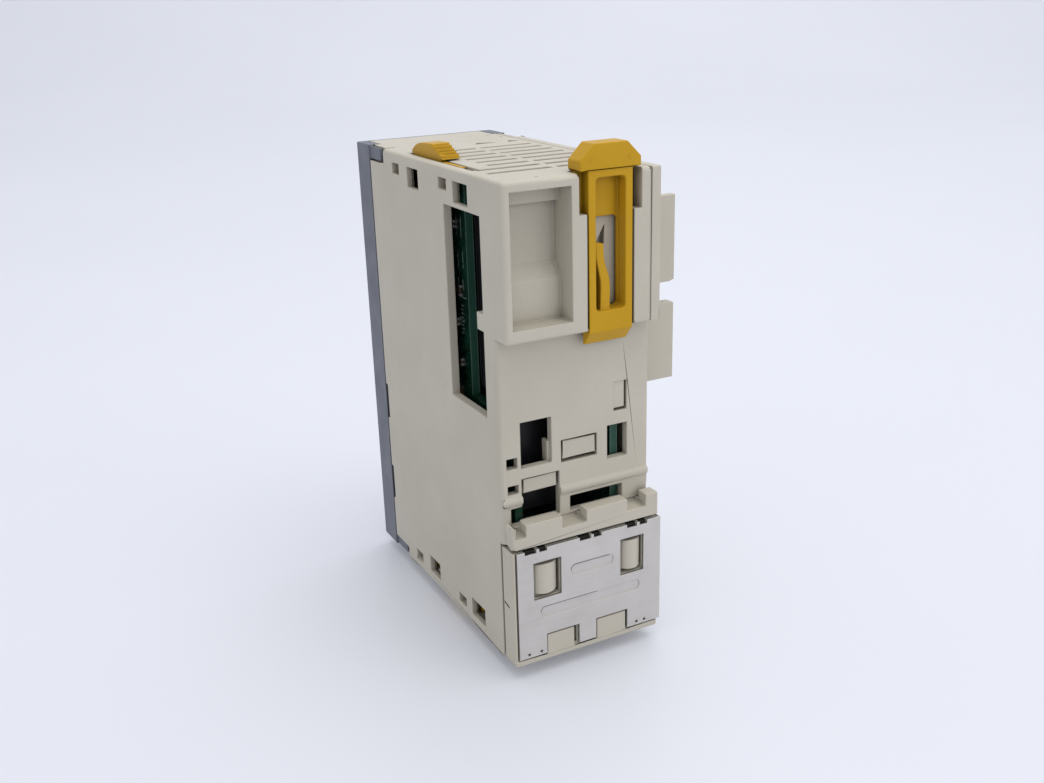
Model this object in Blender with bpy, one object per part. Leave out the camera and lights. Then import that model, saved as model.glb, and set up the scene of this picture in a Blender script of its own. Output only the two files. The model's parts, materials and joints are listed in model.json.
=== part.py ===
"""A snap-together PLC communication module for a 35 mm DIN rail, as separate pieces, in metres with +Z up.

The module stands with its rail latch at the top, its dark bezel towards -Y and its rail seat towards +Y. Sizes are in
millimetres in the case frame: X across the width from the middle, Y from the bezel's face towards the rail, and Z up
from the case's bottom. The empty module_frame carries every piece, and puts the middle of the underside of the whole
bounding box at the origin.
"""

import math

import bmesh
import bpy
from mathutils import Matrix, Vector

MM = 0.001

# Driving dimensions
HALF_WIDTH = 15.5
HEIGHT = 90.0
DEPTH = 66.7
CLIP_CREST_Y = 67.0
BEZEL_DEPTH = 7.4
GAP = 0.3
WALL = 1.7
TOP_WALL = 1.8
RAIL_SEAT = 62.8
CHANNEL_FLOOR = 62.7
TONGUE_FRONT = 1.1
LOWER_BACK = 61.6
UPPER_BLOCK_LOW = 62.6
HOOK_TOP = 28.8
HOOK_LOW = 24.2
NOTCH_FLOOR = 26.4
PARTING_X = -13.25
COVER_INNER_X = PARTING_X - GAP
SLIDER_TRAVEL = 5.0
SLIDER_HEIGHT = 2.7
SHROUD_TIP_X = -24.6
BOARD_THICKNESS = 1.6

CASE_FRONT = BEZEL_DEPTH + GAP
INNER_X = HALF_WIDTH - WALL
INNER_BACK = RAIL_SEAT - WALL
INNER_TOP = HEIGHT - TOP_WALL
BUS_BOARD_X = 10.2
IO_BOARD_X = -10.1
FRONT_BOARD_Y = 12.4
BOARD_START_Y = FRONT_BOARD_Y + BOARD_THICKNESS + 0.4
BOARD_EDGE_Y = 44.45
BUS_MIDDLE_Y = 52.6
PORT_Z = 21.5
DIAL_Z = 60.5
DIAL_X = 6.6
FACE_SEGMENTS = 24

# Openings in the walls, as (low, high) pairs along the two directions of the wall
BUS_WINDOW_Y = (43.4, 58.2)
BUS_WINDOW_Z = (47.2, 83.3)
BUS_KEY_Y = 55.7
BUS_KEY_Z = (63.1, 66.3)
HOOK_HOLES = [((27.0, 32.3), (84.1, 87.9)), ((47.7, 53.7), (84.1, 87.9))]
PIN_HOLES = [((19.6, 23.0), (85.8, 87.9)), ((41.6, 45.1), (85.8, 87.9))]
LIP_NOTCHES_X = [(12.65, 14.9), (0.05, 5.2), (-12.85, -8.75)]
PLATE_WINDOWS_X = [(5.7, 11.5), (-12.3, -7.1)]
PLATE_DASHES_X = [(10.8, 13.2), (8.6, 10.2), (-0.7, 1.7), (-3.0, -1.3), (-10.8, -8.6), (-13.1, -11.4)]
VENT_START_Y = 26.2
VENT_PITCH = 4.33
VENT_COUNT = 8
VENT_WIDTH = 1.7

AXES = {
    "X": Matrix(((0, 0, 1, 0), (1, 0, 0, 0), (0, 1, 0, 0), (0, 0, 0, 1))),
    "Y": Matrix(((1, 0, 0, 0), (0, 0, -1, 0), (0, 1, 0, 0), (0, 0, 0, 1))),
    "Z": Matrix.Identity(4),
}
UNIT = {"X": Vector((1, 0, 0)), "Y": Vector((0, 1, 0)), "Z": Vector((0, 0, 1))}


# Scene and materials


def clear_scene():
    for obj in list(bpy.data.objects):
        bpy.data.objects.remove(obj, do_unlink=True)


def new_collection(name):
    made = bpy.data.collections.new(name)
    bpy.context.scene.collection.children.link(made)
    return made


def principled(name, colour, roughness, metallic=0.0):
    made = bpy.data.materials.new(name)
    made.use_nodes = True
    shader = made.node_tree.nodes["Principled BSDF"]
    shader.inputs["Base Color"].default_value = (*colour, 1.0)
    shader.inputs["Roughness"].default_value = roughness
    shader.inputs["Metallic"].default_value = metallic
    made.diffuse_color = (*colour, 1.0)
    return made


clear_scene()
MODULE = new_collection("plc_module")
CUTTERS = new_collection("cutters")
FRAME = bpy.data.objects.new("module_frame", None)
FRAME.location = Vector((-(HALF_WIDTH + SHROUD_TIP_X) / 2, -CLIP_CREST_Y / 2, SLIDER_HEIGHT)) * MM
MODULE.objects.link(FRAME)

BEIGE = principled("beige_abs", (0.44, 0.42, 0.37), 0.5)
DARK_GREY = principled("dark_grey_abs", (0.13, 0.14, 0.16), 0.45)
YELLOW = principled("yellow_pom", (0.50, 0.27, 0.02), 0.4)
BLACK = principled("black_pbt", (0.012, 0.012, 0.014), 0.4)
BOARD_GREEN = principled("solder_mask_green", (0.01, 0.09, 0.045), 0.35)
SHEET_STEEL = principled("tinned_sheet", (0.62, 0.62, 0.65), 0.3, 1.0)
GOLD = principled("gold_contact", (0.85, 0.6, 0.22), 0.25, 1.0)
SMOKED = principled("smoked_lens", (0.05, 0.06, 0.07), 0.15)
CLEAR = principled("clear_acrylic", (0.8, 0.82, 0.85), 0.1)
LED_GREEN = principled("led_body", (0.5, 0.75, 0.45), 0.3)
WHITE_DIAL = principled("white_dial", (0.75, 0.74, 0.7), 0.45)
NICKEL = principled("nickel_plate", (0.65, 0.64, 0.6), 0.25, 1.0)
ALUMINIUM = principled("capacitor_can", (0.7, 0.7, 0.72), 0.3, 1.0)


# Shapes, each a bmesh in case millimetres


def block(low, high):
    size = Vector(high) - Vector(low)
    middle = (Vector(high) + Vector(low)) / 2
    shape = bmesh.new()
    bmesh.ops.create_cube(shape, size=1.0, matrix=Matrix.Translation(middle) @ Matrix.Diagonal((*size, 1.0)))
    return shape


def blocks(spans):
    """Several blocks that don't touch, in one mesh, to cut or join in one step."""
    return gather(block(low, high) for low, high in spans)


def gather(shapes):
    whole = bmesh.new()
    for shape in shapes:
        piece = bpy.data.meshes.new("piece")
        shape.to_mesh(piece)
        shape.free()
        whole.from_mesh(piece)
        bpy.data.meshes.remove(piece)
    return whole


def rounded_block(low, high, axis, radius, segments=3):
    """A block whose four edges along one axis are rounded."""
    shape = block(low, high)
    along = UNIT[axis]
    edges = [e for e in shape.edges if abs((e.verts[1].co - e.verts[0].co).normalized().dot(along)) > 0.9]
    bmesh.ops.bevel(shape, geom=edges, offset=radius, segments=segments, profile=0.5, affect="EDGES")
    return shape


def cylinder(start, axis, radius, length, segments=FACE_SEGMENTS, end_radius=None):
    """A cylinder or cone from its start point, along an axis."""
    place = Matrix.Translation(Vector(start)) @ UNIT[axis].to_track_quat("Z", "Y").to_matrix().to_4x4()
    shape = bmesh.new()
    bmesh.ops.create_cone(
        shape,
        cap_ends=True,
        segments=segments,
        radius1=radius,
        radius2=radius if end_radius is None else end_radius,
        depth=length,
        matrix=place @ Matrix.Translation((0, 0, length / 2)),
    )
    return shape


def prism(outline, axis, low, high):
    """A flat outline extruded along an axis: (Y, Z) points along X, (X, Z) points along Y, (X, Y) points along Z."""
    curve = bpy.data.curves.new("outline", "CURVE")
    curve.dimensions = "2D"
    curve.fill_mode = "BOTH"
    curve.extrude = (high - low) / 2
    spline = curve.splines.new("POLY")
    spline.points.add(len(outline) - 1)
    for point, (u, v) in zip(spline.points, outline):
        point.co = (u, v, 0, 1)
    spline.use_cyclic_u = True
    drawn = bpy.data.objects.new("outline", curve)
    bpy.context.scene.collection.objects.link(drawn)
    graph = bpy.context.evaluated_depsgraph_get()
    mesh = bpy.data.meshes.new_from_object(drawn.evaluated_get(graph))
    bpy.data.objects.remove(drawn)
    bpy.data.curves.remove(curve)
    shape = bmesh.new()
    shape.from_mesh(mesh)
    bpy.data.meshes.remove(mesh)
    bmesh.ops.remove_doubles(shape, verts=shape.verts, dist=1e-4)
    shape.transform(Matrix.Translation(UNIT[axis] * (low + high) / 2) @ AXES[axis])
    bmesh.ops.recalc_face_normals(shape, faces=shape.faces)
    return shape


# Objects


def place(name, shape, group, origin):
    """An object that holds the shape, with its own origin at the given point of the case frame."""
    mesh = bpy.data.meshes.new(name)
    shape.transform(Matrix.Scale(MM, 4) @ Matrix.Translation(-Vector(origin)))
    shape.to_mesh(mesh)
    shape.free()
    made = bpy.data.objects.new(name, mesh)
    made.location = Vector(origin) * MM
    made.parent = FRAME
    group.objects.link(made)
    return made


def part(name, shape, material, origin=(0, 0, 0)):
    made = place(name, shape, MODULE, origin)
    made.data.materials.append(material)
    made.data.shade_smooth()
    made.data.set_sharp_from_angle(angle=math.radians(35))
    return made


def boolean(target, shape, operation):
    helper = place(f"{target.name}_{operation.lower()}_{len(target.modifiers):02d}", shape, CUTTERS, (0, 0, 0))
    helper.hide_render = True
    helper.display_type = "WIRE"
    modifier = target.modifiers.new(helper.name, "BOOLEAN")
    modifier.operation = operation
    modifier.solver = "EXACT"
    modifier.object = helper


def cut(target, *shapes):
    for shape in shapes:
        boolean(target, shape, "DIFFERENCE")


def unite(target, *shapes):
    for shape in shapes:
        boolean(target, shape, "UNION")


def mirrored_z(span):
    """The same span on the underside, as the case is symmetric about its middle height."""
    low, high = span
    return (HEIGHT - high, HEIGHT - low)


# Case


def hole_set(spans, x_low, x_high):
    """Holes through a side wall, at the top and mirrored at the bottom."""
    both = [(y, z) for y, z in spans] + [(y, mirrored_z(z)) for y, z in spans]
    return blocks([((x_low, y[0], z[0]), (x_high, y[1], z[1])) for y, z in both])


def vent_slots():
    """Two columns of slots across the top, either side of a centre rib, leaving room for the slider's track."""
    spans = []
    for index in range(VENT_COUNT):
        y = VENT_START_Y + index * VENT_PITCH
        left = 8.6 if y < 50 else 12.8
        spans.append(((0.35, y - VENT_WIDTH / 2), (left, y + VENT_WIDTH / 2)))
        spans.append(((-11.8, y - VENT_WIDTH / 2), (-0.6, y + VENT_WIDTH / 2)))
    return spans


def build_main_case():
    case = part("main_case", block((PARTING_X, TONGUE_FRONT, 0), (HALF_WIDTH, RAIL_SEAT, HEIGHT)), BEIGE)
    # Only a tongue of the top wall reaches forward, into the bezel.
    around_tongue = [(PARTING_X - 1, -1), (HALF_WIDTH + 1, -1), (HALF_WIDTH + 1, HEIGHT + 1), (12.8, HEIGHT + 1),
                     (12.8, INNER_TOP + 0.1), (-12.6, INNER_TOP + 0.1), (-12.6, HEIGHT + 1), (PARTING_X - 1, HEIGHT + 1)]
    cut(case, prism(around_tongue, "Y", 0, CASE_FRONT))
    cut(case, block((PARTING_X - 1, CASE_FRONT - 1, TOP_WALL), (INNER_X, INNER_BACK, INNER_TOP)))
    # The back wall steps forward behind the lower cover.
    unite(case, block((PARTING_X, LOWER_BACK - WALL, 1.0), (INNER_X + 0.5, LOWER_BACK + 0.6, HOOK_LOW + 1.2)))
    cut(case, block((-20, LOWER_BACK, -1), (20, DEPTH + 1, HOOK_LOW - GAP)))
    # A flange behind the side cover, the upper block with a pad behind its pocket, and the hook lip.
    unite(case, block((-HALF_WIDTH, INNER_BACK, HOOK_LOW), (PARTING_X + 1.5, RAIL_SEAT, UPPER_BLOCK_LOW - GAP)))
    unite(case, block((PARTING_X, RAIL_SEAT - 1, UPPER_BLOCK_LOW), (HALF_WIDTH, DEPTH, HEIGHT)))
    unite(case, block((1.2, INNER_BACK - 2.2, UPPER_BLOCK_LOW + 0.9), (INNER_X + 0.5, RAIL_SEAT, HEIGHT - 1)))
    unite(case, block((-HALF_WIDTH, RAIL_SEAT - 1, HOOK_LOW), (HALF_WIDTH, DEPTH, HOOK_TOP)))
    cut_block_and_latch_channel(case)
    cut_hook_lip(case)
    cut_back_windows(case)
    cut_side_wall(case)
    cut_top_and_bottom(case)
    return case


def cut_block_and_latch_channel(case):
    pocket = [
        (DEPTH + 1, 88.2),
        (62.1, 88.2),
        (62.1, 85.3),
        (60.3, 85.3),
        (60.3, 75.0),
        (62.5, 72.0),
        (62.5, 64.9),
        (DEPTH + 1, 64.9),
    ]
    cut(case, prism(pocket, "X", 2.4, 14.0))
    cut(case, block((-10.0, CHANNEL_FLOOR, 59.3), (-0.6, DEPTH + 1, HEIGHT + 1)))
    cut(case, block((-11.5, CHANNEL_FLOOR, 64.1), (0.9, 64.5, HEIGHT + 1)))
    cut(case, block((-11.5, CHANNEL_FLOOR, 83.1), (0.9, DEPTH + 1, HEIGHT + 1)))
    # The three-cornered pocket that the tip of the latch's spring finger clicks into.
    cut(case, prism([(-6.2, 80.0), (-6.2, 76.7), (-4.3, 76.7)], "Y", CHANNEL_FLOOR - 1.3, CHANNEL_FLOOR + 1))


def cut_hook_lip(case):
    # Room for the rail's flange behind the hooks, then the notches between them.
    cut(case, block((-HALF_WIDTH - 1, CHANNEL_FLOOR, HOOK_TOP - 1.8), (HALF_WIDTH + 1, RAIL_SEAT + 1.2, HOOK_TOP + 0.6)))
    cut(case, blocks([((low, RAIL_SEAT, NOTCH_FLOOR), (high, DEPTH + 1, HOOK_TOP + 1)) for low, high in LIP_NOTCHES_X]))


def cut_back_windows(case):
    back, front = RAIL_SEAT + 1, INNER_BACK - 1
    bead = [(RAIL_SEAT - 0.4, 33.1), (RAIL_SEAT - 0.4, 30.9), (RAIL_SEAT + 0.25, 31.2), (RAIL_SEAT + 0.55, 31.7),
            (RAIL_SEAT + 0.6, 32.2), (RAIL_SEAT + 0.45, 32.7)]
    unite(case, prism(bead, "X", -HALF_WIDTH, 3.7), prism(bead, "X", 11.1, HALF_WIDTH))
    cut(
        case,
        blocks(
            [
                ((5.0, front, 38.0), (11.3, back, 46.8)),
                ((-11.06, front, 36.0), (-6.77, back, 42.6)),
                ((3.5, front, 27.4), (11.3, back, 32.9)),
                ((-10.0, front, 27.4), (1.3, back, 30.4)),
                ((12.0, front, 38.3), (14.2, back, 40.4)),
                ((11.9, front, 33.4), (14.1, back, 35.1)),
            ]
        ),
    )
    cut(case, block((11.1, front, 27.0), (13.6, back, 30.6)))
    # Snap arms moulded in the wall: a shallow recess, and a slot round their free edges.
    cut(
        case,
        blocks(
            [
                ((-11.0, RAIL_SEAT - 0.35, 45.2), (-8.2, back, 50.9)),
                ((-4.55, RAIL_SEAT - 0.35, 37.4), (3.05, back, 41.8)),
                ((3.5, RAIL_SEAT - 0.6, 32.8), (11.3, back, 36.0)),
            ]
        ),
    )
    cut(
        case,
        blocks(
            [
                ((-11.0, front, 45.6), (-10.65, back, 50.9)),
                ((2.7, front, 37.9), (3.05, back, 41.8)),
                ((10.8, front, 32.8), (11.3, back, 36.0)),
            ]
        ),
    )
    cut(case, blocks([((-11.0, front, 45.2), (-8.2, back, 45.65)), ((-4.55, front, 37.4), (3.05, back, 37.95))]))
    # Narrow grooves along the other edges of the two wider arms.
    groove = RAIL_SEAT - 1.1
    cut(
        case,
        blocks(
            [
                ((-4.4, groove, 41.55), (2.6, back, 41.8)),
                ((3.8, groove, 35.75), (10.7, back, 36.0)),
                ((3.5, groove, 33.1), (3.75, back, 36.0)),
            ]
        ),
    )
    cut(case, block((-4.55, groove, 38.1), (-4.3, back, 41.4)))
    # A rest beside the black window that stiffens its edge.
    unite(case, block((4.6, INNER_BACK - 1.4, 37.6), (5.4, INNER_BACK + 0.6, 41.8)))


def cut_side_wall(case):
    outside, inside = HALF_WIDTH + 1, INNER_X - 1
    low, high = BUS_WINDOW_Z
    cut(case, block((inside, BUS_WINDOW_Y[0], low), (outside, BUS_KEY_Y, high)))
    cut(
        case,
        blocks(
            [
                ((inside, BUS_KEY_Y - 0.5, low), (outside, BUS_WINDOW_Y[1], BUS_KEY_Z[0])),
                ((inside, BUS_KEY_Y - 0.5, BUS_KEY_Z[1]), (outside, BUS_WINDOW_Y[1], high)),
            ]
        ),
    )
    cut(case, hole_set(HOOK_HOLES + PIN_HOLES, inside, outside))
    # The wall is thinner round the holes, and open at the tips of the bezel's arms.
    thin = [((y[0] - 0.4, y[1] + 1.2), (z[0] - 0.5, z[1] + 0.15)) for y, z in (HOOK_HOLES[0], HOOK_HOLES[1])]
    cut(case, hole_set(thin, inside, INNER_X + 0.5))
    cut(case, arm_notches(HALF_WIDTH - 1.2, outside))
    cut(case, blocks([((HALF_WIDTH - 3, 13.5, z0), (outside, 14.9, z1)) for z0, z1 in ((-1, 2.2), (87.2, HEIGHT + 1))]))
    # Slots where the bezel's clips are pressed free.
    cut(
        case,
        blocks([((HALF_WIDTH - 1.2, CASE_FRONT - 1, z), (outside, 8.6, z + 7.8)) for z in (11.9, 31.1)]),
    )


def arm_notches(x_low, x_high):
    """Notches at the front corners for the bezel's arms."""
    return blocks(
        [
            ((x_low, CASE_FRONT - 1, 87.0), (x_high, 15.1, HEIGHT + 1)),
            ((x_low, CASE_FRONT - 1, -1), (x_high, 14.6, 2.4)),
        ]
    )


def cut_top_and_bottom(case):
    slots = vent_slots()
    cut(case, blocks([((*low, INNER_TOP - 0.6), (*high, HEIGHT + 1)) for low, high in slots]))
    cut(case, blocks([((*low, -1), (*high, TOP_WALL + 0.6)) for low, high in slots]))
    for outline in ([(-7.0, 20.7), (-1.9, 21.0), (-3.6, 18.3)], [(-12.6, 21.1), (-9.0, 21.4), (-10.6, 18.8)]):
        cut(case, prism(outline, "Z", INNER_TOP - 0.5, HEIGHT + 1))
        cut(case, prism(outline, "Z", -1, TOP_WALL + 0.5))
    track, stem_slot = (11.9, 23.2, 52.2, 13.5), (12.0, 25.7, 47.3, 13.6)
    for low_z, high_z, (x0, y0, y1, x1) in (
        (INNER_TOP + 0.7, HEIGHT + 1, track),
        (INNER_TOP - 0.6, HEIGHT + 1, stem_slot),
        (-1, TOP_WALL - 0.7, track),
        (-1, TOP_WALL + 0.6, stem_slot),
    ):
        cut(case, block((x0, y0, low_z), (x1, y1, high_z)))


def build_side_cover():
    cover = part(
        "side_cover", block((-HALF_WIDTH, CASE_FRONT, 0), (COVER_INNER_X, INNER_BACK - GAP, HEIGHT)), BEIGE
    )
    unite(cover, block((-HALF_WIDTH, INNER_BACK - 1, UPPER_BLOCK_LOW), (COVER_INNER_X, DEPTH, HEIGHT)))
    # The shroud of the bus plug: a tall back wall with a keyway, and short walls above and below.
    unite(cover, block((SHROUD_TIP_X, 56.4, 47.6), (-HALF_WIDTH + 0.5, 57.9, 82.9)))
    unite(cover, block((-20.2, 49.5, 81.4), (-HALF_WIDTH + 0.5, 57.0, 82.9)))
    unite(cover, block((-20.2, 49.5, 47.6), (-HALF_WIDTH + 0.5, 57.0, 49.1)))
    cut(cover, prism([(SHROUD_TIP_X - 1, 62.1), (-23.6, 62.8), (-17.0, 62.8), (-17.0, 66.6), (-23.6, 66.6),
                      (SHROUD_TIP_X - 1, 67.3)], "Y", 55, 59))
    cut(cover, block((-HALF_WIDTH - 1, 50.3, 49.7), (COVER_INNER_X + 1, 55.7, 80.7)))
    # Hooks and pins that reach into the next module's holes.
    for y, z in HOOK_HOLES:
        for up, (z0, z1) in ((True, z), (False, mirrored_z(z))):
            neck = (z0 + 1.3, z1 - 0.6) if up else (z0 + 0.6, z1 - 1.3)
            unite(cover, block((-20.3, y[0] + 0.6, neck[0]), (-HALF_WIDTH + 0.5, y[1] - 0.7, neck[1])))
            tip = (z0 + 0.6, z1 - 0.9) if up else (z0 + 0.9, z1 - 0.6)
            unite(cover, block((-20.3, y[0] + 0.6, tip[0]), (-18.7, y[1] - 0.7, tip[1])))
    pins = [(y, z) for y, z in PIN_HOLES] + [(y, mirrored_z(z)) for y, z in PIN_HOLES]
    unite(cover, blocks([((-17.4, y[0] + 0.5, z[0] + 0.4), (-HALF_WIDTH + 0.5, y[1] - 0.5, z[1] - 0.4))
                         for y, z in pins]))
    cut(cover, arm_notches(-HALF_WIDTH - 1, -HALF_WIDTH + 1.2))
    return cover


def build_lower_cover():
    top = HOOK_LOW - 2 * GAP
    cover = part("lower_rear_cover", block((-HALF_WIDTH, LOWER_BACK + 0.7, 0), (HALF_WIDTH, DEPTH, top)), BEIGE)
    cut(cover, block((-14.0, LOWER_BACK - 1, 1.5), (14.0, 65.0, top - 1.5)))
    cut(cover, block((-HALF_WIDTH - 1, 66.2, 1.3), (15.1, DEPTH + 1, top + 1)))
    # Lugs that fill the plate's lower cut-outs, and bowed clips that stand in its windows, beside open gaps.
    for x0, x1 in ((3.0, 8.8), (-8.4, -2.0)):
        unite(cover, block((x0, 65, 0.3), (x1, 66.6, 5.3)))
        cut(cover, block((x0 - 0.7, 64, 1.6), (x0, DEPTH + 1, 5.5)))
    for (x0, x1), (gap_low, gap_high) in zip(PLATE_WINDOWS_X, ((5.8, 6.15), (-7.55, -7.2))):
        clip_low, clip_high = (gap_high, x1 - 0.2) if x0 > 0 else (x0 + 0.2, gap_low)
        cut(cover, block((x0 + 0.1, 65.4, 13.4), (x1 - 0.1, DEPTH + 1, 20.8)))
        half_clip = (clip_high - clip_low) / 2 - 0.05
        unite(cover, prism(bowed_outline((clip_low + clip_high) / 2, half_clip), "Z", 14.2, 20.2))
        cut(cover, block((gap_low, 64, 13.6), (gap_high, DEPTH + 1, 20.6)))
    # Dashes along the top edge, where the plate's tongues are pressed in.
    cut(cover, blocks([((x0, 64.4, 22.4), (x1, DEPTH + 1, 25)) for x0, x1 in PLATE_DASHES_X]))
    return cover


def bowed_outline(x, half_width):
    """The outline of a clip that bows outwards across its width, in (X, Y)."""
    root, edge, steps = 65.1, 65.7, 10
    arc = []
    for step in range(steps + 1):
        t = 2 * step / steps - 1
        arc.append((x - half_width * t, edge + (CLIP_CREST_Y - edge) * (1 - t * t)))
    return [(x - half_width, root), (x + half_width, root)] + arc


def build_shield_plate():
    top = HOOK_LOW - 2 * GAP
    plate = part("rear_shield_plate", block((-16.1, 66.5, 1.6), (14.8, 66.85, top)), SHEET_STEEL)
    unite(plate, block((-16.1, 62.4, 1.6), (-15.8, 66.6, top)))
    windows = [((x0, 13.3), (x1, 20.9)) for x0, x1 in PLATE_WINDOWS_X]
    windows += [((2.0, 1.0), (9.0, 5.7)), ((-8.7, 1.0), (-1.7, 5.7))]
    windows += [((x0, 22.9), (x1, 25)) for x0, x1 in PLATE_DASHES_X]
    cut(plate, blocks([((low[0], 66, low[1]), (high[0], 67.5, high[1])) for low, high in windows]))
    # Two pressed grooves, and small pin holes near the bottom edge.
    for low, high in (((-5.6, 16.4), (3.7, 18.6)), ((-11.4, 9.4), (10.2, 11.6))):
        cut(plate, rounded_block((low[0], 66.63, low[1]), (high[0], 67.5, high[1]), "Y", 1.0, 4))
    cut(plate, *[cylinder((x, 66, 2.3), "Y", 0.3, 2, 10) for x in (12.8, 10.2, -10.8, -12.6)])
    return plate


# Bezel and indicators


def build_bezel():
    bezel = part("front_bezel", block((-HALF_WIDTH, 0, 0), (HALF_WIDTH, BEZEL_DEPTH, HEIGHT)), DARK_GREY)
    cut(bezel, block((-14.0, 2.0, 1.5), (14.0, BEZEL_DEPTH + 1, 88.5)))
    cut(bezel, block((-12.9, TONGUE_FRONT - GAP, 87.8), (13.1, BEZEL_DEPTH + 1, HEIGHT + 1)))
    for side in (-1, 1):
        x0, x1 = sorted((side * 14.6, side * 15.2))
        unite(bezel, block((x0, 5.0, 87.3), (x1, 13.0, 89.8)))
        unite(bezel, block((x0, 5.0, 0.2), (x1, 13.2, 2.1)))
    cut(bezel, rounded_block((-12.3, -1, 73.0), (12.3, 3, 86.3), "Y", 1.0))
    cut(bezel, *[cylinder((side * DIAL_X, -1, DIAL_Z), "Y", 4.6, 4, 32) for side in (-1, 1)])
    cut(bezel, rounded_block((-4.2, -1, 45.6), (4.2, 3, 49.4), "Y", 0.6))
    cut(bezel, rounded_block((-6.9, -1, PORT_Z - 16.1), (6.9, 3, PORT_Z + 16.1), "Y", 1.2))
    return bezel


def build_indicators():
    lens = part("indicator_lens", rounded_block((-12.0, 0.5, 73.3), (12.0, 2.6, 86.0), "Y", 0.8), SMOKED)
    unite(lens, block((-13.2, 2.3, 72.2), (13.2, 3.2, 87.2)))
    spots = [(x, z) for x in (-9.0, -3.0, 3.0, 9.0) for z in (77.0, 82.5)]
    guide = part("light_guide", block((-10.5, 6.0, 75.2), (10.5, 7.2, 84.3)), CLEAR)
    unite(guide, blocks([((x - 0.9, 3.5, z - 0.9), (x + 0.9, 10.8, z + 0.9)) for x, z in spots]))
    strip = part("indicator_led_strip", block((-10.0, 11.7, 76.2), (10.0, 12.1, 83.3)), LED_GREEN)
    unite(strip, blocks([((x - 0.8, 11.1, z - 0.5), (x + 0.8, 11.9, z + 0.5)) for x, z in spots]))


def build_number_switches():
    """Two rotary unit-number switches: a body on the front board, and a dial with an arrow-shaped slot."""
    for name, x in (("left", -DIAL_X), ("right", DIAL_X)):
        body = part(f"number_switch_body_{name}", block((x - 5, 6.6, DIAL_Z - 5), (x + 5, 12.1, DIAL_Z + 5)), BLACK)
        cut(body, cylinder((x, 6.0, DIAL_Z), "Y", 1.6, 3.6, 16))
        dial = part(
            f"number_dial_{name}", cylinder((x, 1.0, DIAL_Z), "Y", 4.1, 5.2, 32), WHITE_DIAL, (x, 1.0, DIAL_Z)
        )
        unite(dial, cylinder((x, 6.0, DIAL_Z), "Y", 1.25, 3.0, 16))
        arrow = [(x - 0.45, DIAL_Z - 2.6), (x + 0.45, DIAL_Z - 2.6), (x + 0.45, DIAL_Z + 1.0),
                 (x + 1.4, DIAL_Z + 0.7), (x, DIAL_Z + 3.0), (x - 1.4, DIAL_Z + 0.7), (x - 0.45, DIAL_Z + 1.0)]
        cut(dial, prism(arrow, "Y", 0.5, 2.0))


def build_mode_switch():
    body = part("mode_switch_body", block((-5.5, 3.6, 44.6), (5.5, 12.1, 50.4)), BLACK)
    cut(body, block((-3.6, 3, 46.0), (3.6, 6.2, 49.0)))
    knob = part("mode_switch_knob", block((-3.3, 1.2, 46.3), (-0.6, 5.9, 48.7)), WHITE_DIAL, (-1.95, 3.5, 47.5))
    cut(knob, blocks([((x, 0.5, 46.0), (x + 0.35, 1.6, 49.0)) for x in (-2.75, -2.1, -1.45)]))


# Port


def d_outline(half_long, half_short, slant, corner):
    """The D outline of the port in (X, Z), long axis upright, with rounded corners."""
    corners = [(-half_short, half_long - slant), (half_short, half_long), (half_short, -half_long),
               (-half_short, -half_long + slant)]
    outline = []
    count = len(corners)
    for index, point in enumerate(corners):
        here = Vector(point)
        before = (Vector(corners[index - 1]) - here).normalized()
        after = (Vector(corners[(index + 1) % count]) - here).normalized()
        half_angle = before.angle(after) / 2
        centre = here + (before + after).normalized() * (corner / math.sin(half_angle))
        reach = corner / math.tan(half_angle)
        start, end = here + before * reach - centre, here + after * reach - centre
        for step in range(5):
            arm = start.lerp(end, step / 4).normalized() * corner
            outline.append((centre.x + arm.x, PORT_Z + centre.y + arm.y))
    return outline


def build_port():
    shell = part("port_shell", rounded_block((-6.25, 4.4, PORT_Z - 15.4), (6.25, 5.2, PORT_Z + 15.4), "Y", 1.5), NICKEL)
    unite(shell, prism(d_outline(8.45, 4.15, 1.4, 1.6), "Y", 0.2, 4.8))
    cut(shell, prism(d_outline(8.0, 3.7, 1.35, 1.3), "Y", -1, 6))
    cut(shell, *[cylinder((0, 3, PORT_Z + z), "Y", 1.6, 3, 16) for z in (-12.5, 12.5)])
    insulator = part("port_insulator", prism(d_outline(7.6, 3.35, 1.3, 1.1), "Y", 0.6, 6.4), BLACK)
    rows = [(-1.42, z) for z in (-4.11, -1.37, 1.37, 4.11)] + [(1.42, z) for z in (-5.48, -2.74, 0, 2.74, 5.48)]
    cut(insulator, gather(cylinder((x, 0, PORT_Z + z), "Y", 0.8, 7, 12) for x, z in rows))
    contacts = part("port_contacts", block((-2.4, 6.8, PORT_Z - 6.4), (2.4, 7.4, PORT_Z + 6.4)), GOLD)
    unite(contacts, gather(cylinder((x, 1.1, PORT_Z + z), "Y", 0.45, 6.0, 8) for x, z in rows))
    part("port_body", block((-5.4, 7.8, PORT_Z - 10.2), (5.4, 12.1, PORT_Z + 10.2)), BLACK)
    for name, z in (("lower", PORT_Z - 12.5), ("upper", PORT_Z + 12.5)):
        post = part(f"jack_post_{name}", cylinder((0, 0.2, z), "Y", 2.5, 3.9, 6), NICKEL)
        cut(post, cylinder((0, -1, z), "Y", 1.25, 4, 16))


# Boards and what they carry


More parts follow.
